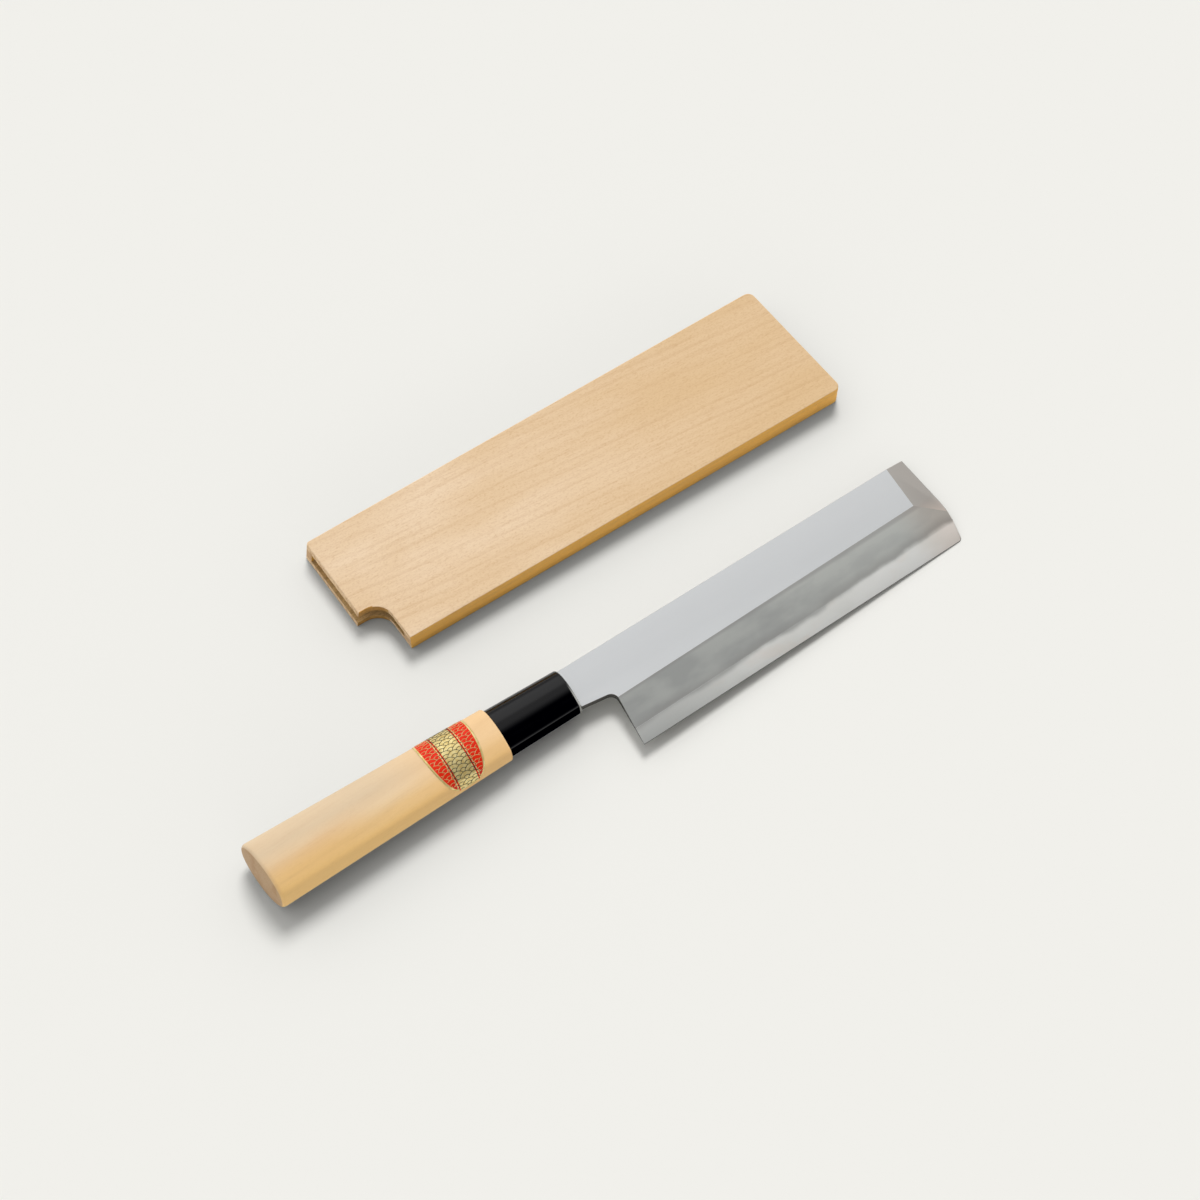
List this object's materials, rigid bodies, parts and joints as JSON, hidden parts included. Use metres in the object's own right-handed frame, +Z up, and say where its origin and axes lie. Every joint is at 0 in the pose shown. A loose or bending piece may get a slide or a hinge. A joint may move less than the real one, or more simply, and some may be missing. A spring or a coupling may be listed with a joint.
{
  "type": "usuba knife",
  "caption": "Small single-bevel vegetable knife with a straight edge, a black ferrule and a ridged wooden handle, lying beside the wooden sheath that covers its blade.",
  "frame": {"origin": "middle of the set's footprint, on the surface that the knife and the sheath lie on", "axes": "+X along the sheath, from its mouth to its closed end and from the knife's butt to its tip; +Y from the knife to the sheath, on the side of the blade's spine; +Z up"},
  "size_m": [0.2716, 0.1244, 0.0199],
  "materials": {
    "blade_iron": "satin ground soft iron",
    "blade_steel": "fine ground hard steel",
    "ferrule_horn": "polished black, standing in for horn",
    "handle_wood": "smooth sanded pale wood",
    "label_foil": "printed red and gold foil",
    "sheath_wood": "planed bare pale wood"
  },
  "bodies": {
    "knife": {"blade_iron": "blade_iron", "blade_steel": "blade_steel", "ferrule": "ferrule_horn", "handle": "handle_wood", "label": "label_foil"},
    "sheath": {"sheath_bottom_board": "sheath_wood", "sheath_top_board": "sheath_wood", "sheath_spine_strip": "sheath_wood", "sheath_edge_strip": "sheath_wood", "sheath_end_block": "sheath_wood"}
  },
  "joints": [
    {"name": "sheath_slide", "type": "slide", "parent": "knife", "child": "sheath", "axis": [1, 0, 0], "range_m": [0, 0.2]}
  ]
}
